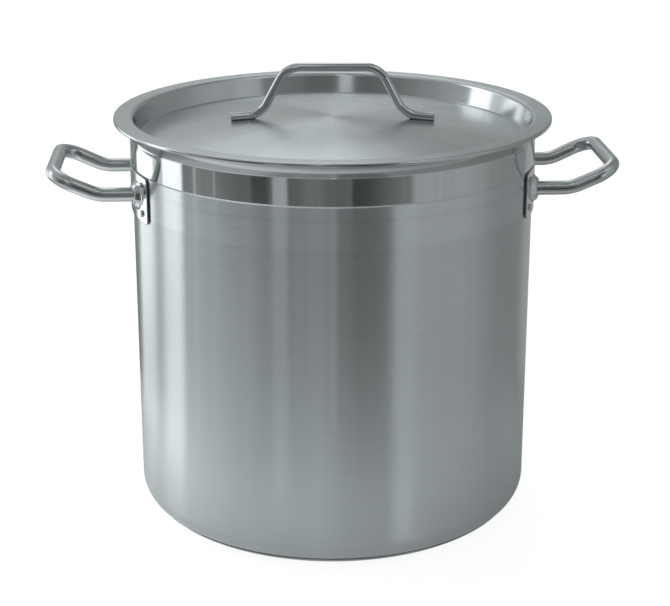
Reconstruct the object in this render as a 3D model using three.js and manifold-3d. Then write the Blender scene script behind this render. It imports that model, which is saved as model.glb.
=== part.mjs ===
// Stockpot with a lid: a drawn pot on a sealed heat-spreading base, two riveted tube handles and a pressed lid.
// Millimetres, +Z up, origin at the centre of the base on the floor, +X through the side handles, front at -Y.
import * as THREE from 'three';
import { mergeVertices } from 'three/addons/utils/BufferGeometryUtils.js';
import Module from 'manifold-3d';

const wasm = await Module();
wasm.setup();

// Fineness of the round forms
const TURN_STEPS = 56; // flats round a turned piece
const BEND_SAG = 0.2; // most that a step of a bend falls short of the true curve
const TUBE_SIDES = 12;
const BOSS_SIDES = 28;
const RIVET_SIDES = 8;
const CORNER_STEPS = 3;
const WELD = 1e-4; // points closer than this are one

// Fits
const SEAT_GAP = 0.3; // between pieces that bear on each other
const HOLE_CLEARANCE = 0.3; // round a tube or rivet in its hole

// Pot body
const WALL_R = 160; // outer radius of the straight wall
const WALL_T = 0.8;
const INSIDE_DEPTH = 320;
const FOOT_BEND = 20; // outer bend from the wall to the bottom
const NECK_DEPTH = 34.2; // from the top of the lip down to the step where the neck is let out
const NECK_STEP = 1; // how far the neck stands out from the wall
const NECK_STEP_RISE = 1.2;
const FLARE_BEND = 14.5; // outer radius of the trumpet under the lip
const FLARE_ANGLE = THREE.MathUtils.degToRad(61);
const LIP_STRAIGHT = 0.4; // straight end of the lip after the trumpet

// Base
const CORE_T = 4; // aluminium disc
const CAP_T = 0.6; // stainless dish under it
const CAP_BEND = 28; // outer bend of the dish

// Side handles
const TUBE_R = 5.5;
const TUBE_WALL = 1.2;
const LEG_HALF_SPACING = 47.5; // each leg's distance from the middle of the handle
const LEG_DROP = 52; // legs below the lip
const LEG_REACH = 25; // from the wall to where the legs turn up
const GRIP_REACH = 60; // from the wall to the middle of the grip
const GRIP_RISE = 15.6; // grip above the legs
const GRIP_SPREAD = 2.5; // each end of the grip stands out from its leg
const LEG_BEND = 28;
const GRIP_BEND = 18;

// Handle plates
const PLATE_T = 1.3;
const PLATE_CORNER = 4;
const PLATE_DROP = 1.5; // middle of the plate below the legs
const BOSS_BASE_R = 11.5;
const BOSS_TOP_R = 7.6;
const BOSS_HEIGHT = 4.3;
const RIVET_REACH = 11.5; // rivets outward of the leg, along the wall's width
const RIVET_PITCH = 21.8; // upper rivet to lower rivet
const RIVET_SIDE_EDGE = 9.5; // rivet to the plate's upright edge
const RIVET_LEVEL_EDGE = 7.1; // rivet to the plate's upper and lower edge

// Rivets
const RIVET_SHANK_R = 1.8;
const RIVET_HEAD_R = 2.8;
const RIVET_HEAD_HEIGHT = 1.6;
const RIVET_TAIL_R = 3.3;
const RIVET_TAIL_HEIGHT = 0.9;
const RIVET_DOME_STEPS = 3;

// Lid
const LID_T = 0.8;
const LID_OVERHANG = 3.8; // inside of the turned-down rim beyond the pot's lip
const RIM_DROP = 2.2; // turned-down rim below the flange's underside
const RIM_BEND = 0.5; // bends are those of the underside
const FLANGE_BEND = 3;
const FLOOR_BEND = 1.8;
const PLUG_CLEARANCE = 1.1; // plug inside the neck, at the flange
const PLUG_DEPTH = 17.3; // floor's edge below the flange
const PLUG_DRAFT = 4.6; // how far the plug narrows to the floor
const LID_CROWN = 13.5; // floor's middle above its edge
const CROWN_STEPS = 4;

// Lid handle
const ROD_R = 3.5;
const ROD_TOP = 36; // middle of the top bar above the flange
const TOP_HALF = 36.8; // corner of the top bar from the middle
const FOOT_INNER = 57.2; // where the legs turn out into the feet
const FOOT_OUTER = 81;
const ROD_BEND = 17;
const LID_TURN = THREE.MathUtils.degToRad(3.5); // how the lid happens to lie on the pot

// Levels that follow from the sizes above
const bottomZ = CAP_T + SEAT_GAP + CORE_T + SEAT_GAP;
const lipZ = bottomZ + WALL_T + INSIDE_DEPTH;
const neckR = WALL_R + NECK_STEP;
const flatShare = Math.cos(Math.PI / TURN_STEPS); // a turned surface comes in by this share at mid-flat
const plateInnerR = WALL_R + SEAT_GAP;
const plateOuterR = plateInnerR + PLATE_T;
const legZ = lipZ - LEG_DROP;
const plateZ = legZ - PLATE_DROP;
const rivetY = LEG_HALF_SPACING + RIVET_REACH;
const flangeZ = lipZ + SEAT_GAP;
const plugR = neckR - WALL_T - PLUG_CLEARANCE;
const floorR = plugR - PLUG_DRAFT;
const floorZ = flangeZ - PLUG_DEPTH;

const brushedSteel = new THREE.MeshStandardMaterial({ color: 0x9ba2a4, roughness: 0.38, metalness: 1 });
const turnedSteel = new THREE.MeshStandardMaterial({ color: 0xa4aaab, roughness: 0.34, metalness: 1 });
const polishedSteel = new THREE.MeshStandardMaterial({ color: 0xb4b9ba, roughness: 0.18, metalness: 1 });
const aluminium = new THREE.MeshStandardMaterial({ color: 0xc3c5c6, roughness: 0.5, metalness: 1 });

function bendSteps(radius, turn) {
  const stepTurn = 2 * Math.acos(1 - BEND_SAG / Math.max(radius, BEND_SAG));
  return Math.max(2, Math.ceil(turn / stepTurn));
}

// Points and directions along corners [Vector3, bend radius]; a corner without a radius stays sharp.
function bentLine(corners) {
  const stations = [];
  corners.forEach(([corner, radius = 0], i) => {
    const arriving = corner.clone().sub(corners[Math.max(i - 1, 0)][0]).normalize();
    const leaving = corners[Math.min(i + 1, corners.length - 1)][0].clone().sub(corner).normalize();
    if (radius === 0) {
      stations.push({ point: corner.clone(), tangent: i === 0 ? leaving : arriving });
      return;
    }
    const turn = arriving.angleTo(leaving);
    const axis = arriving.clone().cross(leaving).normalize();
    const start = corner.clone().addScaledVector(arriving, -radius * Math.tan(turn / 2));
    const centre = start.clone().addScaledVector(axis.clone().cross(arriving), radius);
    const steps = bendSteps(radius, turn);
    for (let k = 0; k <= steps; k++) {
      const angle = (turn * k) / steps;
      stations.push({
        point: start.clone().sub(centre).applyAxisAngle(axis, angle).add(centre),
        tangent: arriving.clone().applyAxisAngle(axis, angle),
      });
    }
  });
  return stations;
}

// A flat outline of corners [radius, height, bend] as points.
function bentOutline(corners) {
  const line = bentLine(corners.map(([r, z, bend]) => [new THREE.Vector3(r, z, 0), bend]));
  return line.map(({ point }) => new THREE.Vector2(point.x, point.y));
}

function arc(centreR, centreZ, radius, from, to) {
  const steps = bendSteps(radius, Math.abs(to - from));
  return Array.from({ length: steps + 1 }, (_, k) => {
    const angle = from + ((to - from) * k) / steps;
    return new THREE.Vector2(centreR + radius * Math.cos(angle), centreZ + radius * Math.sin(angle));
  });
}

// Closes an outline that starts on the axis into a sheet, with the metal on the left of its way out.
function sheet(outline, thickness) {
  const inside = outline.map((point, i) => {
    const back = outline[Math.max(i - 1, 0)];
    const ahead = outline[Math.min(i + 1, outline.length - 1)];
    const arriving = point.clone().sub(back).normalize();
    const leaving = ahead.clone().sub(point).normalize();
    const along = arriving.clone().add(leaving).normalize();
    const slant = i > 0 && i < outline.length - 1 ? along.dot(arriving) : 1;
    const offset = new THREE.Vector2(-along.y, along.x).multiplyScalar(thickness / slant).add(point);
    return point.x === 0 ? new THREE.Vector2(0, offset.y) : offset;
  });
  return [...outline, ...inside.reverse()];
}

function lathe(profile, sides = TURN_STEPS) {
  return new THREE.LatheGeometry(profile, sides).rotateX(Math.PI / 2);
}

// Stations of a bent tube or rod, one for each step of its sweep.
class StationPath extends THREE.Curve {
  constructor(stations) {
    super();
    this.stations = stations;
  }

  station(u, key) {
    const place = u * (this.stations.length - 1);
    const lower = Math.min(Math.floor(place), this.stations.length - 2);
    return this.stations[lower][key].clone().lerp(this.stations[lower + 1][key], place - lower);
  }

  getPoint(u) {
    return this.station(u, 'point');
  }

  getPointAt(u) {
    return this.station(u, 'point');
  }

  getTangentAt(u) {
    return this.station(u, 'tangent').normalize();
  }
}

function sweep(corners, outerR, boreR = 0) {
  const section = new THREE.Shape().absarc(0, 0, outerR, 0, 2 * Math.PI);
  if (boreR > 0) section.holes.push(new THREE.Path().absarc(0, 0, boreR, 0, 2 * Math.PI));
  const stations = bentLine(corners);
  return new THREE.ExtrudeGeometry(section, {
    steps: stations.length - 1,
    curveSegments: TUBE_SIDES / 2,
    extrudePath: new StationPath(stations),
  });
}

// A closed geometry as a solid that can be joined and cut.
function solid(geometry) {
  const bare = geometry.clone();
  bare.deleteAttribute('normal');
  bare.deleteAttribute('uv');
  const merged = mergeVertices(bare, WELD);
  const corners = Array.from(merged.index.array);
  const triVerts = [];
  for (let i = 0; i < corners.length; i += 3) {
    const [a, b, c] = corners.slice(i, i + 3);
    if (a !== b && b !== c && c !== a) triVerts.push(a, b, c);
  }
  return new wasm.Manifold(
    new wasm.Mesh({
      numProp: 3,
      vertProperties: new Float32Array(merged.attributes.position.array),
      triVerts: new Uint32Array(triVerts),
    }),
  );
}

function geometryOf(body) {
  const { vertProperties, triVerts } = body.getMesh();
  const geometry = new THREE.BufferGeometry();
  geometry.setAttribute('position', new THREE.BufferAttribute(new Float32Array(vertProperties), 3));
  geometry.setIndex(new THREE.BufferAttribute(new Uint32Array(triVerts), 1));
  geometry.computeVertexNormals();
  return geometry;
}

function piece(name, geometry, material) {
  const mesh = new THREE.Mesh(geometry, material);
  mesh.name = name;
  return mesh;
}

// Turns a geometry built along +Z so that it points out of the wall, at a distance y from the handle's middle.
function pointOut(geometry, y) {
  const angle = Math.asin(y / plateOuterR);
  return geometry.rotateY(Math.PI / 2).rotateZ(angle);
}

const rivetPlaces = [-1, 1].flatMap((side) =>
  [-1, 1].map((level) => ({ side, level, y: side * rivetY, z: plateZ + (level * RIVET_PITCH) / 2 })),
);

function rivetHole(y, z) {
  const length = plateOuterR;
  const hole = new THREE.CylinderGeometry(
    RIVET_SHANK_R + HOLE_CLEARANCE,
    RIVET_SHANK_R + HOLE_CLEARANCE,
    length,
    RIVET_SIDES,
  );
  return solid(pointOut(hole.rotateX(Math.PI / 2).translate(0, 0, length), y).translate(0, 0, z));
}

// Drawn shell: bottom, foot bend, wall, let-out neck and trumpet, pierced for the rivets of both handles.
function potBodyGeometry() {
  const flareTangent = FLARE_BEND * Math.tan(FLARE_ANGLE / 2);
  const flareLength = flareTangent + LIP_STRAIGHT;
  const flareRise = flareLength * Math.cos(FLARE_ANGLE) + WALL_T * Math.sin(FLARE_ANGLE);
  const flareZ = lipZ - flareRise;
  const stepZ = lipZ - NECK_DEPTH;
  const outline = bentOutline([
    [0, bottomZ],
    [WALL_R, bottomZ, FOOT_BEND],
    [WALL_R, stepZ - NECK_STEP_RISE / 2],
    [neckR, stepZ + NECK_STEP_RISE / 2],
    [neckR, flareZ, FLARE_BEND],
    [neckR + flareLength * Math.sin(FLARE_ANGLE), flareZ + flareLength * Math.cos(FLARE_ANGLE)],
  ]);
  let shell = solid(lathe(sheet(outline, WALL_T)));
  for (const { y, z } of rivetPlaces) {
    const hole = rivetHole(y, z);
    shell = shell.subtract(hole).subtract(hole.rotate([0, 0, 180]));
  }
  return { geometry: geometryOf(shell), lipR: outline.at(-1).x };
}

// Dish whose curved side ends where it meets the pot's foot bend.
function capSideAngle() {
  const dish = new THREE.Vector2(WALL_R - CAP_BEND, CAP_BEND);
  const foot = new THREE.Vector2(WALL_R - FOOT_BEND, bottomZ + FOOT_BEND);
  const dishR = CAP_BEND - CAP_T;
  const footR = FOOT_BEND + SEAT_GAP;
  const between = foot.clone().sub(dish);
  const reach = (dishR ** 2 - footR ** 2 + between.lengthSq()) / (2 * between.length());
  return Math.atan2(between.y, between.x) - Math.acos(reach / dishR);
}

function baseCapGeometry() {
  const side = arc(WALL_R - CAP_BEND, CAP_BEND, CAP_BEND, -Math.PI / 2, capSideAngle());
  return lathe(sheet([new THREE.Vector2(0, 0), ...side], CAP_T));
}

// Disc squeezed out against the dish, so that its edge follows the dish's curve.
function baseCoreGeometry() {
  const edgeR = CAP_BEND - CAP_T - SEAT_GAP;
  const topZ = bottomZ - SEAT_GAP;
  const edge = arc(WALL_R - CAP_BEND, CAP_BEND, edgeR, -Math.PI / 2, -Math.asin((CAP_BEND - topZ) / edgeR));
  return lathe([new THREE.Vector2(0, topZ - CORE_T), ...edge, new THREE.Vector2(0, topZ)]);
}

// Handle in the right-hand place: legs straight out, turned up to the grip.
function handleTubeGeometry() {
  const gripHalf = LEG_HALF_SPACING + GRIP_SPREAD;
  const legX = WALL_R + LEG_REACH;
  const gripX = WALL_R + GRIP_REACH;
  const gripZ = legZ + GRIP_RISE;
  const half = (side) => [
    [new THREE.Vector3(0, side * LEG_HALF_SPACING, legZ)],
    [new THREE.Vector3(legX, side * LEG_HALF_SPACING, legZ), LEG_BEND],
    [new THREE.Vector3(gripX, side * gripHalf, gripZ), GRIP_BEND],
  ];
  const tube = solid(sweep([...half(-1), ...half(1).reverse()], TUBE_R, TUBE_R - TUBE_WALL));
  const inside = lathe([
    new THREE.Vector2(0, 0),
    new THREE.Vector2(plateInnerR, 0),
    new THREE.Vector2(plateInnerR, lipZ),
    new THREE.Vector2(0, lipZ),
  ]);
  return geometryOf(tube.subtract(solid(inside)));
}

function bossBlank(lift) {
  const blank = new THREE.CylinderGeometry(BOSS_TOP_R, BOSS_BASE_R, BOSS_HEIGHT + PLATE_T / 2, BOSS_SIDES);
  const middle = plateOuterR + (BOSS_HEIGHT - PLATE_T / 2) / 2 + lift;
  return blank.rotateX(Math.PI / 2).translate(0, 0, middle);
}

// Pressed plate in the right-hand place: wrapped on the wall, with two bosses that the tube's ends go into.
function handlePlateGeometry() {
  const halfWidth = rivetY + RIVET_SIDE_EDGE;
  const halfHeight = RIVET_PITCH / 2 + RIVET_LEVEL_EDGE;
  const ring = lathe([
    new THREE.Vector2(plateInnerR, 0),
    new THREE.Vector2(plateOuterR, 0),
    new THREE.Vector2(plateOuterR, lipZ),
    new THREE.Vector2(plateInnerR, lipZ),
    new THREE.Vector2(plateInnerR, 0),
  ]);
  const corner = Math.min(PLATE_CORNER, halfHeight, halfWidth);
  const blank = new THREE.Shape();
  blank.absarc(halfWidth - corner, halfHeight - corner, corner, 0, Math.PI / 2);
  blank.absarc(corner - halfWidth, halfHeight - corner, corner, Math.PI / 2, Math.PI);
  blank.absarc(corner - halfWidth, corner - halfHeight, corner, Math.PI, 1.5 * Math.PI);
  blank.absarc(halfWidth - corner, corner - halfHeight, corner, 1.5 * Math.PI, 2 * Math.PI);
  const stamp = new THREE.ExtrudeGeometry(blank, {
    depth: plateOuterR,
    bevelEnabled: false,
    curveSegments: CORNER_STEPS,
  });
  const acrossYZ = new THREE.Matrix4().makeBasis(
    new THREE.Vector3(0, 1, 0),
    new THREE.Vector3(0, 0, 1),
    new THREE.Vector3(1, 0, 0),
  );
  let plate = solid(ring).intersect(solid(stamp.applyMatrix4(acrossYZ).translate(0, 0, plateZ)));
  for (const side of [-1, 1]) {
    const y = side * LEG_HALF_SPACING;
    const outside = solid(pointOut(bossBlank(0), y).translate(0, 0, legZ));
    const hollow = solid(pointOut(bossBlank(-PLATE_T), y).translate(0, 0, legZ));
    const holeR = TUBE_R + HOLE_CLEARANCE;
    const hole = new THREE.CylinderGeometry(holeR, holeR, 2 * plateOuterR, TUBE_SIDES);
    hole.rotateZ(Math.PI / 2).translate(plateOuterR, y, legZ);
    plate = plate.add(outside).subtract(hollow).subtract(solid(hole));
  }
  for (const { y, z } of rivetPlaces) plate = plate.subtract(rivetHole(y, z));
  return geometryOf(plate);
}

// Rivet through plate and wall: domed head outside, flat tail inside the pot.
function rivetGeometry(y, z) {
  const tailR = (WALL_R - WALL_T) * flatShare - SEAT_GAP;
  const headR = plateOuterR * flatShare + SEAT_GAP;
  const dome = Array.from({ length: RIVET_DOME_STEPS }, (_, k) => {
    const angle = (k * Math.PI) / 2 / RIVET_DOME_STEPS;
    return new THREE.Vector2(RIVET_HEAD_R * Math.cos(angle), headR + RIVET_HEAD_HEIGHT * Math.sin(angle));
  });
  const profile = [
    new THREE.Vector2(0, tailR - RIVET_TAIL_HEIGHT),
    new THREE.Vector2(RIVET_TAIL_R, tailR - RIVET_TAIL_HEIGHT),
    new THREE.Vector2(RIVET_TAIL_R, tailR),
    new THREE.Vector2(RIVET_SHANK_R, tailR),
    new THREE.Vector2(RIVET_SHANK_R, headR),
    ...dome,
    new THREE.Vector2(0, headR + RIVET_HEAD_HEIGHT),
  ];
  return pointOut(lathe(profile, RIVET_SIDES), y).translate(0, 0, z);
}

function crownZ(r) {
  return floorZ + LID_CROWN * (1 - (r / floorR) ** 2);
}

// Pressed sheet, outlined by its underside: crowned floor, plug, flange on the lip, turned-down rim.
function lidPanGeometry(lipR) {
  const rimR = lipR + LID_OVERHANG;
  const crown = Array.from({ length: CROWN_STEPS }, (_, k) => {
    const r = (k / CROWN_STEPS) * floorR;
    return [r, crownZ(r)];
  });
  const outline = bentOutline([
    ...crown,
    [floorR, floorZ, FLOOR_BEND],
    [plugR, flangeZ, FLANGE_BEND],
    [rimR, flangeZ, RIM_BEND],
    [rimR, flangeZ - RIM_DROP],
  ]);
  return lathe(sheet(outline, LID_T));
}

// Bent rod whose feet lie along the crown of the lid.
function lidHandleGeometry() {
  const footMiddle = (FOOT_INNER + FOOT_OUTER) / 2;
  const fall = (2 * LID_CROWN * footMiddle) / floorR ** 2;
  const lift = LID_T + SEAT_GAP + ROD_R;
  const footZ = (x) => crownZ(footMiddle) + lift * Math.hypot(1, fall) - fall * (x - footMiddle);
  const topZ = flangeZ + ROD_TOP;
  const half = (side) => [
    [new THREE.Vector3(side * FOOT_OUTER, 0, footZ(FOOT_OUTER))],
    [new THREE.Vector3(side * FOOT_INNER, 0, footZ(FOOT_INNER)), ROD_BEND],
    [new THREE.Vector3(side * TOP_HALF, 0, topZ), ROD_BEND],
  ];
  return sweep([...half(-1), ...half(1).reverse()], ROD_R);
}

const stockpot = new THREE.Group();
const body = potBodyGeometry();
stockpot.add(piece('pot_body', body.geometry, brushedSteel));
stockpot.add(piece('base_core', baseCoreGeometry(), aluminium));
stockpot.add(piece('base_cap', baseCapGeometry(), brushedSteel));

for (const [hand, turn] of [['left', Math.PI], ['right', 0]]) {
  const handle = new THREE.Group();
  handle.rotation.z = turn;
  handle.add(piece(`${hand}_handle_plate`, handlePlateGeometry(), polishedSteel));
  handle.add(piece(`${hand}_handle_tube`, handleTubeGeometry(), polishedSteel));
  for (const { side, level, y, z } of rivetPlaces) {
    const end = side * Math.cos(turn) < 0 ? 'front' : 'back';
    const row = level > 0 ? 'upper' : 'lower';
    handle.add(piece(`${hand}_${end}_${row}_rivet`, rivetGeometry(y, z), polishedSteel));
  }
  stockpot.add(handle);
}

const lid = new THREE.Group();
lid.add(piece('lid_pan', lidPanGeometry(body.lipR), turnedSteel));
const lidHandle = piece('lid_handle', lidHandleGeometry(), polishedSteel);
lidHandle.rotation.z = -LID_TURN;
lid.add(lidHandle);
stockpot.add(lid);

export default stockpot;
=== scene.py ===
"""Looks of a stockpot with a lid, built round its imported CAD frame. Metres, +Z up, front at -Y."""
import math

import bpy
from mathutils import Matrix, Vector


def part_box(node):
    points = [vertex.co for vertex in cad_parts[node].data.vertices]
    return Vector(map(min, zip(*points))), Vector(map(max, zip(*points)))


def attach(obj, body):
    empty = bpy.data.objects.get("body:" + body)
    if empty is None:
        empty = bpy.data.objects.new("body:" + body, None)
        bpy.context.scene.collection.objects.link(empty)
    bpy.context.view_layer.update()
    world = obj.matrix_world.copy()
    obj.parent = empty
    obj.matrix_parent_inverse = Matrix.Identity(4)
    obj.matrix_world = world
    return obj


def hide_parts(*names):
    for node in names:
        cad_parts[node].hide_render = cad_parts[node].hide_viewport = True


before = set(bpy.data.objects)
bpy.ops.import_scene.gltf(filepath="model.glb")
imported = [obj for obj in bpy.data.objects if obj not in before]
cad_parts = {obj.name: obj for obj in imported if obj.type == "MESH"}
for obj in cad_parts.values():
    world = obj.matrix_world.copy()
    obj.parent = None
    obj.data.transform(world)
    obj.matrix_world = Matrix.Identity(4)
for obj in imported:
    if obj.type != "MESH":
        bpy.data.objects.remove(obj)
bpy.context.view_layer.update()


# Pot body: one deep-drawn stainless shell with a rounded foot, a neck let out by a small step and a flared
# lip. The wall is brushed round and round and the neck is polished to a mirror, while the inside keeps a
# satin finish. The flare has the neck's polish in a darker shade: painted shade that dims its reflections.
wall_r = 0.160
wall_t = 0.0008
foot_bend = 0.020
neck_r = 0.161
neck_step = 0.0012
neck_depth = 0.0342
flare_bend = 0.0145
flare_angle = math.radians(61)
flare_margin = 0.002
lip_straight = 0.0004
step_bend = 0.0005
wall_edge = 0.0002
turn_steps = 192
bend_step = 6
fewest_bend_steps = 4
same_place = 1e-5
smooth_angle = math.radians(40)
sharp_angle = math.radians(60)
haze_roughness = 0.11
steel_shade = (0.60, 0.635, 0.64)
neck_shade = (0.63, 0.65, 0.655)
# The flare's shade is the neck's steel made darker: painted shade, not a different metal.
flare_painted_shade = (0.44, 0.46, 0.465)
body_low, body_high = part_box("pot_body")
bottom_z, lip_z = body_low.z, body_high.z
step_z = lip_z - neck_depth


def pick(kind, wanted):
    """Selects the vertices or polygons of the piece in edit mode that are wanted."""
    bpy.ops.mesh.select_mode(type={"vertices": "VERT", "polygons": "FACE"}[kind])
    bpy.ops.mesh.select_all(action="DESELECT")
    bpy.ops.object.mode_set(mode="OBJECT")
    for part in getattr(bpy.context.object.data, kind):
        part.select = wanted(part)
    bpy.ops.object.mode_set(mode="EDIT")


def draw_line(name, corners):
    """Starts a piece as a line through corners (place, bend radius), drawn by extruding a point."""
    bpy.ops.object.select_all(action="DESELECT")
    bpy.ops.mesh.primitive_plane_add(size=wall_t)
    bpy.context.object.name = name
    bpy.ops.object.mode_set(mode="EDIT")
    bpy.ops.mesh.select_mode(type="VERT")
    bpy.ops.mesh.merge(type="CENTER")
    places = [Vector(place) for place, bend in corners]
    bpy.ops.transform.translate(value=places[0])
    for here, there in zip(places, places[1:]):
        bpy.ops.mesh.extrude_region_move(TRANSFORM_OT_translate={"value": there - here})
    for before, (place, bend), after in zip(places, corners[1:], places[2:]):
        if bend:
            corner = Vector(place)
            turn = (corner - before).angle(after - corner)
            pick("vertices", lambda vertex: (vertex.co - corner).length < same_place)
            bpy.ops.mesh.bevel(
                affect="VERTICES",
                offset=bend * math.tan(turn / 2),
                segments=max(fewest_bend_steps, round(math.degrees(turn) / bend_step)),
                clamp_overlap=False,
            )
    return bpy.context.object


def spin_round(steps):
    """Turns the drawn line round the pot's axis, with the drawn side facing out."""
    bpy.ops.mesh.select_all(action="SELECT")
    bpy.ops.mesh.spin(steps=steps, angle=math.tau, center=(0, 0, 0), axis=(0, 0, 1))
    bpy.ops.mesh.select_all(action="SELECT")
    bpy.ops.mesh.remove_doubles(threshold=same_place)
    bpy.ops.mesh.normals_make_consistent(inside=False)
    bpy.ops.object.mode_set(mode="OBJECT")
    middle = min(bpy.context.object.data.polygons, key=lambda face: face.center.xy.length)
    if middle.normal.z > 0:
        bpy.ops.object.mode_set(mode="EDIT")
        bpy.ops.mesh.flip_normals()
        bpy.ops.object.mode_set(mode="OBJECT")


def modify(kind, **settings):
    """Adds a modifier to the piece in hand and applies it."""
    modifier = bpy.context.object.modifiers.new(kind, kind)
    for name, value in settings.items():
        setattr(modifier, name, value)
    bpy.ops.object.modifier_apply(modifier=modifier.name)


def thicken(thickness, edge):
    """Gives the drawn skin its wall behind it and breaks the cut edges."""
    modify("SOLIDIFY", thickness=thickness, offset=-1, use_even_offset=True)
    modify("BEVEL", width=edge, segments=2, limit_method="ANGLE", angle_limit=sharp_angle)
    bpy.ops.object.shade_smooth_by_angle(angle=smooth_angle)


class Socket:
    """An output of a node tree; arithmetic on it adds Math nodes."""

    def __init__(self, nodes, output):
        self.nodes, self.output = nodes, output

    def math(self, operation, *values):
        return self.nodes.add("ShaderNodeMath", {"operation": operation}, dict(enumerate(values)))

    def __add__(self, other):
        return self.math("ADD", self, other)

    def __radd__(self, other):
        return self.math("ADD", other, self)

    def __sub__(self, other):
        return self.math("SUBTRACT", self, other)

    def __rsub__(self, other):
        return self.math("SUBTRACT", other, self)

    def __mul__(self, other):
        return self.math("MULTIPLY", self, other)

    def __truediv__(self, other):
        return self.math("DIVIDE", self, other)

    def __pow__(self, other):
        return self.math("POWER", self, other)


class Nodes:
    """A node tree that is wired from expressions."""

    def __init__(self, owner):
        owner.use_nodes = True
        self.tree = owner.node_tree
        self.tree.nodes.clear()

    def add(self, kind, settings, sockets, output=0):
        node = self.tree.nodes.new(kind)
        for name, value in settings.items():
            setattr(node, name, value)
        for name, value in sockets.items():
            if isinstance(value, Socket):
                self.tree.links.new(value.output, node.inputs[name])
            else:
                node.inputs[name].default_value = value
        return Socket(self, node.outputs[output]) if node.outputs else node

    def split(self, vector):
        separate = self.add("ShaderNodeSeparateXYZ", {}, {0: vector}).output.node
        return [Socket(self, output) for output in separate.outputs]

    def join(self, x, y, z):
        return self.add("ShaderNodeCombineXYZ", {}, {0: x, 1: y, 2: z})

    def noise(self, place, detail=2.0):
        """Cloudy values around 0.5, one cloud per unit of the place."""
        return self.add("ShaderNodeTexNoise", {}, {"Vector": place, "Scale": 1.0, "Detail": detail})

    def rise(self, value, start, end):
        """From 0 at start to 1 at end, with soft shoulders."""
        return self.add(
            "ShaderNodeMapRange",
            {"interpolation_type": "SMOOTHSTEP"},
            {"Value": value, "From Min": start, "From Max": end},
        )

    def blend(self, share, first, second):
        """A colour between two, by share."""
        mix = self.add("ShaderNodeMix", {"data_type": "RGBA"}, {"Factor": share}).output.node
        for socket, colour in zip((mix.inputs[6], mix.inputs[7]), (first, second)):
            if isinstance(colour, Socket):
                self.tree.links.new(colour.output, socket)
            else:
                socket.default_value = (*colour, 1)
        return Socket(self, mix.outputs[2])

    def place(self):
        return self.add("ShaderNodeTexCoord", {}, {}, "Object")

    def clouds(self, per_metre):
        """Cloudy values around 0.5 all over the piece."""
        sockets = {0: self.place(), "Scale": per_metre}
        return self.noise(self.add("ShaderNodeVectorMath", {"operation": "SCALE"}, sockets))

    def round_axis(self, length, pitch):
        """Places for marks that run round the pot's axis: their length round it, and their pitch across."""
        x, y, z = self.split(self.place())
        r = (x * x + y * y) ** 0.5
        turns = wall_r / length
        return self.join(x / r * turns, y / r * turns, (r + z) / pitch)

    def steel(self, colour, roughness, normal=None, anisotropy=0.0, haze=0.0):
        """Stainless steel on the tree's output; haze is the share of a second, duller reflection."""
        sockets = {
            "Base Color": colour,
            "Metallic": 1.0,
            "Roughness": roughness,
            "Anisotropic": anisotropy,
            "Anisotropic Rotation": 0.25,
        }
        if normal is not None:
            sockets["Normal"] = normal
        shader = self.add("ShaderNodeBsdfPrincipled", {}, sockets)
        if haze:
            sockets["Roughness"] = roughness + haze_roughness
            dull = self.add("ShaderNodeBsdfPrincipled", {}, sockets)
            shader = self.add("ShaderNodeMixShader", {}, {0: haze, 1: shader, 2: dull})
        self.add("ShaderNodeOutputMaterial", {}, {"Surface": shader})


def toned(shade, share):
    """A shade made darker or lighter."""
    return tuple(share * channel for channel in shade)


def brushed_steel(name, shade, roughness, anisotropy=1.0, bands=0.5, brush_and_sheen_sectors=0.0, haze=0.0):
    """Steel brushed in rings round the pot's axis, so that reflections smear across the rings."""
    material = bpy.data.materials.new(name)
    nodes = Nodes(material)
    hairs = nodes.noise(nodes.round_axis(length=0.035, pitch=0.0005))
    rings = nodes.noise(nodes.round_axis(length=0.30, pitch=0.009), detail=3.0)
    patches = nodes.clouds(14.0)
    rubs = nodes.rise(nodes.noise(nodes.round_axis(length=0.030, pitch=0.0016)), 0.70, 0.78)
    # Radial fans of tone: partly uneven brushing, partly painted highlight streaks like the radial sheen of a
    # turned lid.
    brush_and_sheen_fans = nodes.noise(nodes.round_axis(length=0.050, pitch=10.0), detail=3.0)
    grain = hairs * 0.6 + rings * bands + patches * 0.4 - (1.0 + bands) / 2
    tone = 0.5 + grain + (brush_and_sheen_fans - 0.5) * brush_and_sheen_sectors
    colour = nodes.blend(tone, toned(shade, 0.90), toned(shade, 1.08))
    relief = hairs + rubs * 0.05
    bump = nodes.add("ShaderNodeBump", {}, {"Strength": 0.02, "Distance": 0.0002, "Height": relief})
    nodes.steel(colour, roughness + grain * 0.12 + rubs * 0.01, bump, anisotropy, haze)
    return material


def polished_steel(name, shade, roughness):
    """Steel polished on a wheel: nearly a mirror, with a faint waviness and hair marks."""
    material = bpy.data.materials.new(name)
    nodes = Nodes(material)
    waves = nodes.clouds(60.0)
    hairs = nodes.noise(nodes.round_axis(length=0.020, pitch=0.0006))
    smears = nodes.clouds(25.0)
    colour = nodes.blend(hairs * 0.6 + smears * 0.4, toned(shade, 0.93), shade)
    relief = waves + hairs * 0.1
    bump = nodes.add("ShaderNodeBump", {}, {"Strength": 0.05, "Distance": 0.0004, "Height": relief})
    nodes.steel(colour, roughness + (smears - 0.5) * 0.06 + (hairs - 0.5) * 0.05, bump)
    return material


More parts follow.
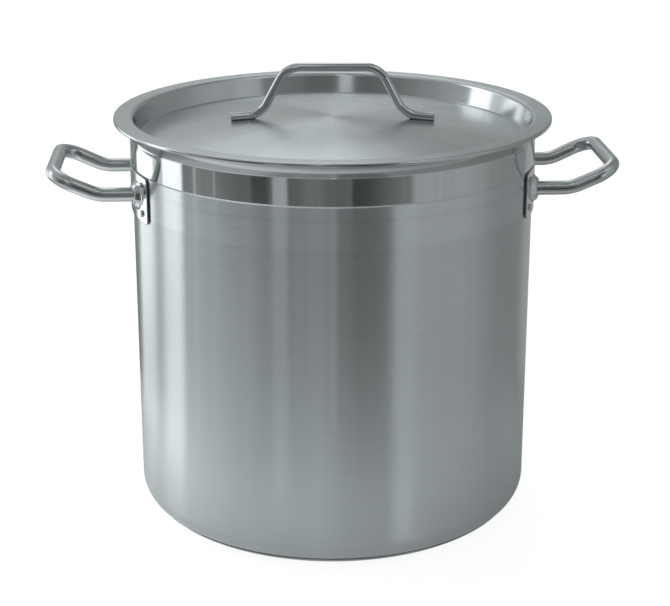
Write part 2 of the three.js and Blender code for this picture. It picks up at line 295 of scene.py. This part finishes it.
def wall_steel(name, shade):
    """The brushed wall: a finer upper zone with one ring, short brush marks, stray scuffs and a worn foot."""
    material = bpy.data.materials.new(name)
    nodes = Nodes(material)
    z = nodes.split(nodes.place())[2]
    hairs = nodes.noise(nodes.round_axis(length=0.040, pitch=0.0004))
    lines = nodes.noise(nodes.round_axis(length=0.110, pitch=0.0024), detail=3.0)
    patches = nodes.clouds(11.0)
    scuffs = nodes.rise(nodes.noise(nodes.round_axis(length=0.028, pitch=0.0022), detail=1.0), 0.71, 0.79)
    foot = nodes.rise(z, 0.018, 0.023) * (1 - nodes.rise(z, 0.026, 0.035))
    wear = nodes.rise(nodes.noise(nodes.round_axis(length=0.018, pitch=0.0018)), 0.60, 0.68) * foot
    dashes = nodes.noise(nodes.round_axis(length=0.011, pitch=0.0026), detail=1.0) - 0.5
    dashes = dashes * nodes.rise(z, 0.205, 0.255)
    wander = (lines - 0.5) * 0.004
    fine = nodes.rise(z + wander, 0.2575, 0.2620)
    ring = nodes.rise(z, 0.2780, 0.2800) * (1 - nodes.rise(z, 0.2818, 0.2834))
    tone = 0.5 + (hairs - 0.5) * 0.25 + (lines - 0.5) * 0.30 + (patches - 0.5) * 0.7 + scuffs * 0.9
    tone = tone + fine * 0.45 + dashes * 0.6 - ring * 0.30 - wear * 1.6
    colour = nodes.blend(tone, toned(shade, 0.92), toned(shade, 1.08))
    relief = hairs + scuffs + dashes * 110.0
    bump = nodes.add("ShaderNodeBump", {}, {"Strength": 0.008, "Distance": 0.0002, "Height": relief})
    lower = 1 - nodes.rise(z, 0.02, 0.26)
    roughness = 0.21 - fine * 0.02 + lower * 0.03
    roughness = roughness + (hairs - 0.5) * 0.02 + (lines - 0.5) * 0.02 + (patches - 0.5) * 0.03
    nodes.steel(colour, roughness, bump, anisotropy=1.0, haze=0.34)
    return material


flare_tangent = flare_bend * math.tan(flare_angle / 2)
flare_length = flare_tangent + lip_straight
flare_rise = flare_length * math.cos(flare_angle)
flare_z = lip_z - flare_rise - wall_t * math.sin(flare_angle)
flare_start = flare_z - flare_tangent + flare_margin
lip_r = neck_r + flare_length * math.sin(flare_angle)
pot = draw_line(
    "drawn_pot",
    [
        ((0, 0, bottom_z), 0),
        ((wall_r, 0, bottom_z), foot_bend),
        ((wall_r, 0, step_z - neck_step / 2), step_bend),
        ((neck_r, 0, step_z + neck_step / 2), step_bend),
        ((neck_r, 0, flare_z), flare_bend),
        ((lip_r, 0, flare_z + flare_rise), 0),
    ],
)
spin_round(turn_steps)
thicken(wall_t, wall_edge)
neck_face, inside_face, shaded_flare_face = 1, 2, 3
downward = -0.9
pot.data.materials.append(wall_steel("brushed_wall", steel_shade))
pot.data.materials.append(polished_steel("polished_neck", neck_shade, roughness=0.07))
pot.data.materials.append(brushed_steel("satin_inside", steel_shade, roughness=0.42, anisotropy=0.8))
# Painted shade: the flare is drawn darker than the neck to dim the reflections it catches.
pot.data.materials.append(polished_steel("flare_dimmed_by_painted_shade", flare_painted_shade, roughness=0.13))
for face in pot.data.polygons:
    outward = face.center.xy.normalized().dot(face.normal.xy) > 0 or face.normal.z < downward
    if not outward:
        face.material_index = inside_face
    elif face.center.z > flare_start:
        face.material_index = shaded_flare_face
    elif face.center.z > step_z + neck_step / 2:
        face.material_index = neck_face
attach(pot, "pot")
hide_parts("pot_body")


# Base core: an aluminium disc that spreads the heat, bonded under the pot's bottom and sealed in by the base
# dish. Its edge is squeezed out against the dish's curve.
dish_t = 0.0006
dish_bend = 0.028
core_bend = 0.008
core_edge = 0.0004
core_shade = (0.72, 0.73, 0.74)
core_low, core_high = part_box("base_core")
core = draw_line(
    "heat_core",
    [
        ((0, 0, core_low.z), 0),
        ((wall_r - dish_bend, 0, core_low.z), core_bend),
        ((core_high.x, 0, core_high.z), core_edge),
        ((0, 0, core_high.z), 0),
    ],
)
spin_round(turn_steps)
bpy.ops.object.shade_smooth_by_angle(angle=smooth_angle)
core.data.materials.append(brushed_steel("sawn_aluminium", core_shade, roughness=0.5, anisotropy=0.5))
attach(core, "pot")
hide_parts("base_core")


# Base dish: a thin stainless dish pressed over the core; it is the face that the pot stands on.
# Its curved side ends close against the foot of the pot and shows as one fine line there.
dish_edge = 0.00015
dish_shade = (0.57, 0.60, 0.605)
dish_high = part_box("base_cap")[1]
dish_end = -math.acos((dish_high.x - (wall_r - dish_bend)) / dish_bend)
dish_stops = 10
dish_side = [
    -math.pi / 2 + (dish_end + math.pi / 2) * stop / dish_stops for stop in range(dish_stops + 1)
]
dish = draw_line(
    "base_dish",
    [((0, 0, 0), 0)]
    + [
        ((wall_r - dish_bend + dish_bend * math.cos(a), 0, dish_bend + dish_bend * math.sin(a)), 0)
        for a in dish_side
    ],
)
spin_round(turn_steps)
thicken(dish_t, dish_edge)
dish.data.materials.append(brushed_steel("turned_base", dish_shade, roughness=0.36))
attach(dish, "pot")
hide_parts("base_cap")


# Handle plates: one stainless plate for each handle, wrapped on the wall and polished, with two pressed
# bosses that take the ends of the tube. Each is held by four rivets.
plate_t = 0.0013
plate_corner = 0.004
leg_y = 0.0475
leg_z = 0.274
tube_r = 0.0055
boss_top_r = 0.0074
boss_flank = 0.0048
boss_height = 0.0043
well_margin = 0.0009
well_depth = 0.0016
plate_edge = 0.0004
edge_tilt = 0.3
corner_cuts = (0.1, 0.3, 0.5, 0.7, 0.9)
plate_rows = 48
plate_columns = 190
plate_shade = (0.66, 0.68, 0.685)
# The plates' cut edges are given a dark shade: painted shade of the narrow gap along the plate's edge.
cut_edge_shadow_shade = (0.30, 0.31, 0.315)
plate_low, plate_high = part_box("right_handle_plate")
plate_r = plate_high.x
plate_reach = math.asin(plate_high.y / plate_r)
boss_angle = math.asin(leg_y / plate_r)


def outwards(angle):
    return Vector((math.cos(angle), math.sin(angle), 0))


def sideways(angle):
    return Vector((-math.sin(angle), math.cos(angle), 0))


def both_sides(piece, right_name, left_name):
    """The piece is the right-hand one; its copy turned half round the pot is the left-hand one."""
    piece.name = right_name
    bpy.ops.object.select_all(action="DESELECT")
    piece.select_set(True)
    bpy.context.view_layer.objects.active = piece
    bpy.ops.object.duplicate()
    copy = bpy.context.object
    copy.name = left_name
    bpy.ops.transform.rotate(value=math.pi, orient_axis="Z", center_override=(0, 0, 0))
    bpy.ops.object.transform_apply()
    return piece, copy


plate = draw_line(
    "plate",
    [
        (plate_r * outwards(plate_reach) + Vector((0, 0, plate_low.z)), 0),
        (plate_r * outwards(plate_reach) + Vector((0, 0, plate_high.z)), 0),
    ],
)
bpy.ops.mesh.select_all(action="SELECT")
bpy.ops.mesh.subdivide(number_cuts=plate_rows - 1)
bpy.ops.mesh.select_all(action="SELECT")
bpy.ops.mesh.spin(steps=plate_columns, angle=2 * plate_reach, center=(0, 0, 0), axis=(0, 0, 1))
bpy.ops.object.mode_set(mode="OBJECT")
first_face = plate.data.polygons[0]
faces_inwards = first_face.normal.dot(first_face.center) < 0
bpy.ops.object.mode_set(mode="EDIT")
if faces_inwards:
    bpy.ops.mesh.select_all(action="SELECT")
    bpy.ops.mesh.flip_normals()
corner_angle = plate_reach - plate_corner / plate_r
for side in (-1, 1):
    for level, edge_z in ((-1, plate_low.z), (1, plate_high.z)):
        centre = plate_r * outwards(side * corner_angle) + Vector((0, 0, edge_z - level * plate_corner))
        for share in corner_cuts:
            lean = share * math.pi / 2
            away = side * math.cos(lean) * sideways(side * corner_angle)
            away += Vector((0, 0, level * math.sin(lean)))
            bpy.ops.mesh.select_all(action="SELECT")
            bpy.ops.mesh.bisect(plane_co=centre + plate_corner * away, plane_no=away, clear_outer=True)
for side in (-1, 1):
    boss = plate_r * outwards(side * boss_angle) + Vector((0, 0, leg_z))
    pick("vertices", lambda vertex: (vertex.co - boss).length < boss_top_r)
    bpy.ops.transform.translate(
        value=boss_height * outwards(side * boss_angle),
        use_proportional_edit=True,
        proportional_edit_falloff="SMOOTH",
        proportional_size=boss_flank,
    )
    well = Vector((side * leg_y, leg_z))
    pick("vertices", lambda vertex: (vertex.co.yz - well).length < tube_r + well_margin)
    bpy.ops.transform.translate(value=-well_depth * outwards(side * boss_angle))
bpy.ops.object.mode_set(mode="OBJECT")
thicken(plate_t, plate_edge)
cut_edge_shadow_face = 1
plate.data.materials.append(polished_steel("polished_plate", plate_shade, roughness=0.13))
# Painted shade: the plate's cut edges are drawn dark, standing in for the shadow in the gap beside them.
plate.data.materials.append(polished_steel("cut_edge_painted_shade", cut_edge_shadow_shade, roughness=0.30))
# Edge faces beside the bosses take the dark painted shade.
for face in plate.data.polygons:
    beside_bosses = abs(face.center.y) > leg_y + boss_top_r + boss_flank
    if beside_bosses and abs(face.normal.dot(face.center.xy.to_3d().normalized())) < edge_tilt:
        face.material_index = cut_edge_shadow_face
for piece, hand in zip(both_sides(plate, "right_plate", "left_plate"), ("right", "left")):
    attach(piece, "pot")
    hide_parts(f"{hand}_handle_plate")


# Handle tubes: one bent stainless tube for each handle, satin-polished along its length.
# The legs go into the bosses of the plate, where they are welded from behind.
leg_bend = 0.028
grip_bend = 0.018
leg_reach = 0.185
grip_spread = 0.0025
leg_inset = 0.0002
bar_resolution = 10
bar_weld = 1e-6
streaks_around = 9.0
streaks_along = 8.0
tube_shade = (0.63, 0.655, 0.66)
tube_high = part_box("right_handle_tube")[1]
grip_x = tube_high.x - tube_r
grip_z = tube_high.z - tube_r


def round_bar(radius):
    """Makes the drawn line a round bar with closed ends."""
    bpy.ops.object.mode_set(mode="OBJECT")
    bpy.ops.object.convert(target="CURVE")
    bpy.context.object.data.bevel_depth = radius
    bpy.context.object.data.bevel_resolution = bar_resolution
    bpy.context.object.data.use_fill_caps = True
    bpy.ops.object.convert(target="MESH")
    bpy.ops.object.mode_set(mode="EDIT")
    bpy.ops.mesh.select_all(action="SELECT")
    bpy.ops.mesh.remove_doubles(threshold=bar_weld)
    bpy.ops.mesh.normals_make_consistent(inside=False)


def drawn_steel(name, shade, roughness):
    """Steel polished along a bar, with fine streaks that follow its length."""
    material = bpy.data.materials.new(name)
    nodes = Nodes(material)
    along, around, _ = nodes.split(nodes.add("ShaderNodeTexCoord", {}, {}, "UV"))
    turn = around * math.tau
    cosine, sine = turn.math("COSINE", turn), turn.math("SINE", turn)
    lanes = nodes.join(cosine * streaks_around, sine * streaks_around, along * streaks_along)
    streaks = nodes.noise(lanes, detail=3.0)
    smears = nodes.clouds(90.0)
    colour = nodes.blend(streaks * 0.8 + smears * 0.2, toned(shade, 0.86), shade)
    bump = nodes.add("ShaderNodeBump", {}, {"Strength": 0.10, "Distance": 0.0003, "Height": streaks})
    nodes.steel(colour, roughness + (streaks - 0.5) * 0.12 + (smears - 0.5) * 0.06, bump)
    return material


draw_line(
    "tube",
    [
        ((plate_low.x, -leg_y, leg_z), 0),
        ((leg_reach, -leg_y, leg_z), leg_bend),
        ((grip_x, -leg_y - grip_spread, grip_z), grip_bend),
        ((grip_x, leg_y + grip_spread, grip_z), grip_bend),
        ((leg_reach, leg_y, leg_z), leg_bend),
        ((plate_low.x, leg_y, leg_z), 0),
    ],
)
round_bar(tube_r)
for side in (-1, 1):
    pick("polygons", lambda face: face.center.y * side > 0 and face.center.x < leg_reach)
    bpy.ops.mesh.bisect(
        plane_co=(plate_r - plate_t + leg_inset) * outwards(side * boss_angle),
        plane_no=outwards(side * boss_angle),
        clear_inner=True,
        use_fill=True,
    )
bpy.ops.object.mode_set(mode="OBJECT")
bpy.ops.object.shade_smooth_by_angle(angle=smooth_angle)
tube = bpy.context.object
tube.data.materials.append(drawn_steel("satin_tube", tube_shade, roughness=0.23))
for piece, hand in zip(both_sides(tube, "right_tube", "left_tube"), ("right", "left")):
    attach(piece, "pot")
    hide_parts(f"{hand}_handle_tube")


# Rivets: eight stainless rivets through plate and wall, above and below each boss.
# A domed head shows outside, and a flat head closes the hole inside the pot.
rivet_y = 0.059
rivet_head_r = 0.0028
rivet_head_height = 0.0016
rivet_head_bend = 0.0014
rivet_shank_r = 0.0018
rivet_tail_r = 0.0033
rivet_tail_height = 0.0009
rivet_tail_bend = 0.0005
rivet_turn_steps = 32
rivet_shade = (0.52, 0.54, 0.545)
rivet_levels = {"lower": 0.2616, "upper": 0.2834}
rivet_angle = math.asin(rivet_y / plate_r)
wall_inside = wall_r - wall_t
rivet = draw_line(
    "rivet",
    [
        ((0, 0, wall_inside - rivet_tail_height), 0),
        ((rivet_tail_r, 0, wall_inside - rivet_tail_height), rivet_tail_bend),
        ((rivet_tail_r, 0, wall_inside), 0),
        ((rivet_shank_r, 0, wall_inside), 0),
        ((rivet_shank_r, 0, plate_r), 0),
        ((rivet_head_r, 0, plate_r), 0),
        ((rivet_head_r, 0, plate_r + rivet_head_height), rivet_head_bend),
        ((0, 0, plate_r + rivet_head_height), 0),
    ],
)
spin_round(rivet_turn_steps)
bpy.ops.object.shade_smooth_by_angle(angle=smooth_angle)
rivet.data.materials.append(polished_steel("polished_rivet", rivet_shade, roughness=0.20))
for hand, facing in (("right", 0), ("left", math.pi)):
    for end, side in (("front", -1), ("back", 1)):
        for row, level in rivet_levels.items():
            copy = rivet.copy()
            copy.data = rivet.data.copy()
            copy.name = f"{hand}_{end}_{row}_head"
            bpy.context.scene.collection.objects.link(copy)
            turn = facing + side * rivet_angle * math.cos(facing)
            placed = Matrix.Translation((0, 0, level)) @ Matrix.Rotation(turn, 4, "Z")
            copy.data.transform(placed @ Matrix.Rotation(math.pi / 2, 4, "Y"))
            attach(copy, "pot")
            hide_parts(f"{hand}_{end}_{row}_rivet")
bpy.data.objects.remove(rivet)


# Lid: one pressed stainless sheet with a crowned floor sunk into the pot's neck, a flange that rests on the
# lip and a rim that is turned down. It is brushed in circles.
lid_t = 0.0008
rim_bend = 0.0005
flange_bend = 0.003
floor_bend = 0.0018
plug_r = 0.1591
floor_r = 0.1545
plug_depth = 0.0173
lid_crown = 0.0135
crown_steps = 10
rim_drop = 0.0022
seam_width = 0.0016
seam_height = 0.0030
lid_edge = 0.0002
plug_tilt = 0.7
lid_shade = (0.62, 0.65, 0.655)
rim_shade = (0.58, 0.60, 0.605)
plug_shade = (0.61, 0.64, 0.645)
# The rim's underside is given a dark shade: painted shadow of the gap between the rim and the flare.
rim_gap_shadow_shade = (0.24, 0.25, 0.255)
lid_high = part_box("lid_pan")[1]
flange_z = lid_high.z - lid_t
floor_z = flange_z - plug_depth
rim_r = lid_high.x - lid_t


def crown_z(r):
    return floor_z + lid_crown * (1 - (r / floor_r) ** 2)


crown_stops = [floor_r * step / crown_steps for step in range(crown_steps)]
lid = draw_line(
    "pressed_lid",
    [((r, 0, crown_z(r)), 0) for r in crown_stops]
    + [
        ((floor_r, 0, floor_z), floor_bend),
        ((plug_r, 0, flange_z), flange_bend),
        ((rim_r, 0, flange_z), rim_bend),
        ((rim_r, 0, flange_z - rim_drop), 0),
    ],
)
spin_round(turn_steps)
thicken(lid_t, lid_edge)
rim_face, plug_face, rim_gap_shadow_face = 1, 2, 3
# The lid gets strong radial fans of tone, partly uneven brushing and partly painted highlight streaks.
for finish in (
    brushed_steel(
        "turned_lid", lid_shade, roughness=0.255, anisotropy=0.85, bands=0.3, brush_and_sheen_sectors=1.8, haze=0.34
    ),
    polished_steel("polished_rim", rim_shade, roughness=0.15),
    brushed_steel("burnished_plug", plug_shade, roughness=0.15, anisotropy=0.4, bands=0.2),
    # Painted shadow: the rim's underside is darkened where it sits in the gap above the flare.
    polished_steel("rim_gap_painted_shadow", rim_gap_shadow_shade, roughness=0.30),
):
    lid.data.materials.append(finish)
for face in lid.data.polygons:
    r = face.center.xy.length
    at_seam = abs(r - floor_r) < seam_width and face.center.z < floor_z + seam_height
    # Faces under the rim take the dark shade, a painted shadow of the gap.
    if r > rim_r - rim_bend and face.normal.z < -edge_tilt:
        face.material_index = rim_gap_shadow_face
    elif r > rim_r - rim_bend or at_seam:
        face.material_index = rim_face
    elif r > floor_r - lid_t and abs(face.normal.z) < plug_tilt:
        face.material_index = plug_face
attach(lid, "lid")
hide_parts("lid_pan")


# Lid handle: one bent stainless rod. Its feet lie along the crown of the lid, pressed a little flat where the
# electrodes of the spot welder stood.
rod_r = 0.0035
rod_bend = 0.017
top_half = 0.0368
foot_inner = 0.0572
foot_outer = 0.081
foot_sink = 0.0005
flat_inner = 0.0676
flat_outer = 0.0795
flat_run = 0.0012
flat_depth = 0.0006
rod_edge = 0.0004
rod_shade = (0.65, 0.675, 0.68)
lid_turn = math.radians(3.5)
rod_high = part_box("lid_handle")[1]
top_z = rod_high.z - rod_r
foot_middle = (foot_inner + foot_outer) / 2
foot_fall = 2 * lid_crown * foot_middle / floor_r**2


def foot_z(x):
    lift = (lid_t + rod_r - foot_sink) * math.hypot(1, foot_fall)
    return crown_z(foot_middle) + lift - foot_fall * (x - foot_middle)


draw_line(
    "lid_rod",
    [
        ((-foot_outer, 0, foot_z(foot_outer)), 0),
        ((-foot_inner, 0, foot_z(foot_inner)), rod_bend),
        ((-top_half, 0, top_z), rod_bend),
        ((top_half, 0, top_z), rod_bend),
        ((foot_inner, 0, foot_z(foot_inner)), rod_bend),
        ((foot_outer, 0, foot_z(foot_outer)), 0),
    ],
)
round_bar(rod_r)
for side in (-1, 1):
    for x in (flat_inner - flat_run, flat_inner, flat_outer, flat_outer + flat_run):
        bpy.ops.mesh.select_all(action="SELECT")
        bpy.ops.mesh.bisect(plane_co=(side * x, 0, 0), plane_no=(1, 0, 0))
    for x in (flat_inner, flat_outer):
        flat_z = foot_z(x) + rod_r - flat_depth
        pick("vertices", lambda vertex: abs(vertex.co.x - side * x) < same_place and vertex.co.z > flat_z)
        bpy.ops.transform.resize(value=(1, 1, 0), center_override=(0, 0, flat_z))
bpy.ops.object.mode_set(mode="OBJECT")
modify("BEVEL", width=rod_edge, segments=2, limit_method="ANGLE", angle_limit=sharp_angle)
bpy.ops.object.shade_smooth_by_angle(angle=smooth_angle)
bpy.ops.transform.rotate(value=lid_turn, orient_axis="Z", center_override=(0, 0, 0))
bpy.ops.object.transform_apply()
rod = bpy.context.object
rod.data.materials.append(drawn_steel("satin_rod", rod_shade, roughness=0.11))
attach(rod, "lid")
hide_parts("lid_handle")


# Studio: a plain pale floor, clear from below, in a soft room with tall windows on the left, a dark side in
# front of the pot and a light ceiling behind it. A ring of white paper round the pot, which shows only in
# reflections, lights the lower half.
floor_size = 14.0
floor_gap = 0.0003
floor_grey = (0.35, 0.35, 0.35, 1)
floor_glow = 0.88
bpy.ops.object.select_all(action="DESELECT")
bpy.ops.mesh.primitive_plane_add(size=floor_size, location=(0, 0, -floor_gap))
bpy.ops.object.transform_apply()
floor = bpy.context.object
floor.name = "floor"
floor.visible_glossy = False
pale = bpy.data.materials.new("pale_floor")
pale_nodes = Nodes(pale)
pale_shader = pale_nodes.add(
    "ShaderNodeBsdfPrincipled",
    {},
    {
        "Base Color": floor_grey,
        "Roughness": 0.9,
        "Specular IOR Level": 0.0,
        "Emission Color": (1, 1, 1, 1),
        "Emission Strength": floor_glow,
    },
)
from_below = pale_nodes.add("ShaderNodeNewGeometry", {}, {}, "Backfacing")
clear = pale_nodes.add("ShaderNodeBsdfTransparent", {}, {})
pale_surface = pale_nodes.add("ShaderNodeMixShader", {}, {0: from_below, 1: pale_shader, 2: clear})
pale_nodes.add("ShaderNodeOutputMaterial", {}, {"Surface": pale_surface})
floor.data.materials.append(pale)

sheet_r = 0.37
sheet_hole = 0.14
sheet_sides = 64
sheet_peak = 1.5
cool_white = (0.96, 1.0, 1.01)
black = (0, 0, 0)
bpy.ops.object.select_all(action="DESELECT")
bpy.ops.mesh.primitive_circle_add(vertices=sheet_sides, radius=sheet_hole)
bpy.ops.object.mode_set(mode="EDIT")
bpy.ops.mesh.select_all(action="SELECT")
bpy.ops.mesh.extrude_region_move()
bpy.ops.transform.resize(value=(sheet_r / sheet_hole, sheet_r / sheet_hole, 1))
bpy.ops.object.mode_set(mode="OBJECT")
sheet = bpy.context.object
sheet.name = "reflector_sheet"
sheet.visible_camera = False
sheet.visible_diffuse = False
sheet.visible_shadow = False
paper_white = bpy.data.materials.new("paper_white")
sheet_nodes = Nodes(paper_white)
sheet_x, sheet_y, _ = sheet_nodes.split(sheet_nodes.place())
sheet_out = (sheet_x * sheet_x + sheet_y * sheet_y) ** 0.5
outer_part = sheet_nodes.rise(sheet_out, 0.16, 0.32)
right_part = sheet_x / sheet_out
back_part = sheet_nodes.rise(sheet_y, 0.0, 0.2)
sheet_glow = (0.45 + outer_part * 0.33) * (1 - right_part * 0.42) * (1 - back_part * 0.4)
sheet_colour = sheet_nodes.blend(sheet_glow / sheet_peak, black, cool_white)
sheet_shader = sheet_nodes.add("ShaderNodeEmission", {}, {"Color": sheet_colour, "Strength": sheet_peak})
sheet_nodes.add("ShaderNodeOutputMaterial", {}, {"Surface": sheet_shader})
sheet.data.materials.append(paper_white)

world = bpy.data.worlds.new("studio")
bpy.context.scene.world = world
room = Nodes(world)
east, north, up = room.split(room.add("ShaderNodeTexCoord", {}, {}, "Generated"))
to_degrees = 180 / math.pi
azimuth = east.math("ARCTAN2", east, 0 - north) * to_degrees
back_turn = east.math("ARCTAN2", east, north) * to_degrees
height = up.math("ARCSINE", up) * to_degrees


def strip(low, high, soft):
    """1 between two azimuths, in degrees from the front towards the right."""
    return room.rise(azimuth, low - soft, low + soft) * (1 - room.rise(azimuth, high - soft, high + soft))


def band(low, high, soft):
    """1 between two heights, in degrees above the horizon."""
    return room.rise(height, low - soft, low + soft) * (1 - room.rise(height, high - soft, high + soft))


def with_strips(light, rows):
    """The light of a wall with strips added, each a row of low, high, soft and the strip's own light."""
    for low, high, soft, strip_light in rows:
        light = light + strip(low, high, soft) * strip_light
    return light


dark_side = 0.16
under_light = 0.30
ceiling_light = 1.4
overhead_light = 0.9
low_walls = with_strips(
    dark_side,
    [
        (-98, -70, 14, 0.12),
        (-87.3, -86.3, 0.3, 0.45),
        (-73.2, -72.3, 0.3, 0.30),
        (-49.5, -39.5, 1.5, -0.08),
        (-37, -28.5, 1, 0.30),
        (-20, -8, 3, 0.05),
    ],
)
low_walls = low_walls - strip(7.3, 42, 0.8) * (0.09 - room.rise(azimuth, 8, 50) * 0.20)
lit_edges = strip(-4, -1, 0.7) * 0.15 + strip(-26, -22, 1) * 0.08
middle_walls = with_strips(
    dark_side + lit_edges,
    [
        (-98, -66, 8, 0.28),
        (-98, -80, 8, 0.3),
        (-62, -39, 5, -0.08),
        (-1, 29, 1.5, -0.13),
        (30.2, 42, 1.3, 1.2),
    ],
)
upper_walls = with_strips(
    dark_side + room.rise(0 - azimuth, 22, 95) * 0.28, [(-16, -7.6, 0.8, 0.50), (14, 60, 2, 0.06)]
)
middle = room.rise(height, -11, -5)
upper = room.rise(height, 8, 13)
front = low_walls * (1 - middle) + middle_walls * (middle - upper) + upper_walls * upper
right = strip(42, 180, 2) * (0.28 - room.rise(azimuth, 70, 110) * 0.14)
right = right + strip(138, 172, 6) * 0.13 * (1 - room.rise(height, -10, -2))
side_window = strip(-150, -125, 2) * 1.6 * band(-20, 6, 4)
main_window = strip(-125, -114.5, 1) * 0.6 + strip(-114.5, -96.8, 1.0) * 1.5
windows = side_window + main_window * band(-21, 40, 6) + strip(-165, -114.5, 4) * 0.2 * upper
paper = with_strips(0.39 + lit_edges, [(-1, 29, 1.5, -0.14), (-114, -45, 14, 0.31)])
paper = paper - room.rise(azimuth, 75, 125) * 0.10
paper_edge = -25 + strip(-150, -50, 20) * 4 + strip(-50, 44, 8) * 2
near = 1 - room.rise(height - paper_edge, -4, 4)
under = 1 - room.rise(height, -70, -50)
behind = (1 - strip(-148, 165, 20)) * room.rise(height, -19, -9)
behind_light = 0.42 + room.rise(height, -6, 10) * 0.04 - room.rise(back_turn, 4, 9) * 0.05
marks = 1 + (room.noise(room.join(azimuth / 4, 3.0, 0.5), detail=3.0) - 0.5) * 0.35
light = ((front + right + windows) * (1 - near) + paper * near) * marks
light = light * (1 - under) + under * under_light
light = light * (1 - behind) + behind_light * behind
ceiling = room.rise(back_turn, -15, -5) * (1 - room.rise(back_turn, 7, 17))
ceiling = ceiling * room.rise(height - back_turn * 0.5, 18, 33) * (1 - room.rise(height, 52, 64))
light = light * (1 - ceiling) + ceiling * ceiling_light
light = light + band(47, 54, 1.5) * strip(-70, 70, 15) * overhead_light
seen = room.add("ShaderNodeLightPath", {}, {}, "Is Camera Ray")
backdrop = room.add("ShaderNodeBackground", {}, {"Color": (1, 1, 1, 1), "Strength": 1.0})
peak = 2.5
tint = room.blend(room.rise(light, 0.05, 0.40), (0.92, 1.0, 0.97), cool_white)
glow_colour = room.blend(light / peak, black, tint)
glow = room.add("ShaderNodeBackground", {}, {"Color": glow_colour, "Strength": peak})
sky = room.add("ShaderNodeMixShader", {}, {0: seen, 1: glow, 2: backdrop})
room.add("ShaderNodeOutputWorld", {}, {"Surface": sky})

camera_data = bpy.data.cameras.new("camera")
camera_data.sensor_fit = "HORIZONTAL"
camera_data.sensor_width = 36.0
camera_data.lens = 91.95
camera_data.shift_x = 0.0036
camera_data.clip_end = 100.0
camera = bpy.data.objects.new("camera", camera_data)
bpy.context.scene.collection.objects.link(camera)
aim = Vector((0, 0, 0.16595))
camera_distance = 1.4133
camera_pitch = math.radians(18.67)
camera_azimuth = math.radians(-3.5)
stand = Vector((math.sin(camera_azimuth), -math.cos(camera_azimuth), 0)) * math.cos(camera_pitch)
stand += Vector((0, 0, math.sin(camera_pitch)))
camera.location = aim + camera_distance * stand
camera.rotation_euler = (-stand).to_track_quat("-Z", "Y").to_euler()
bpy.context.scene.camera = camera
bpy.context.scene.view_settings.view_transform = "Standard"
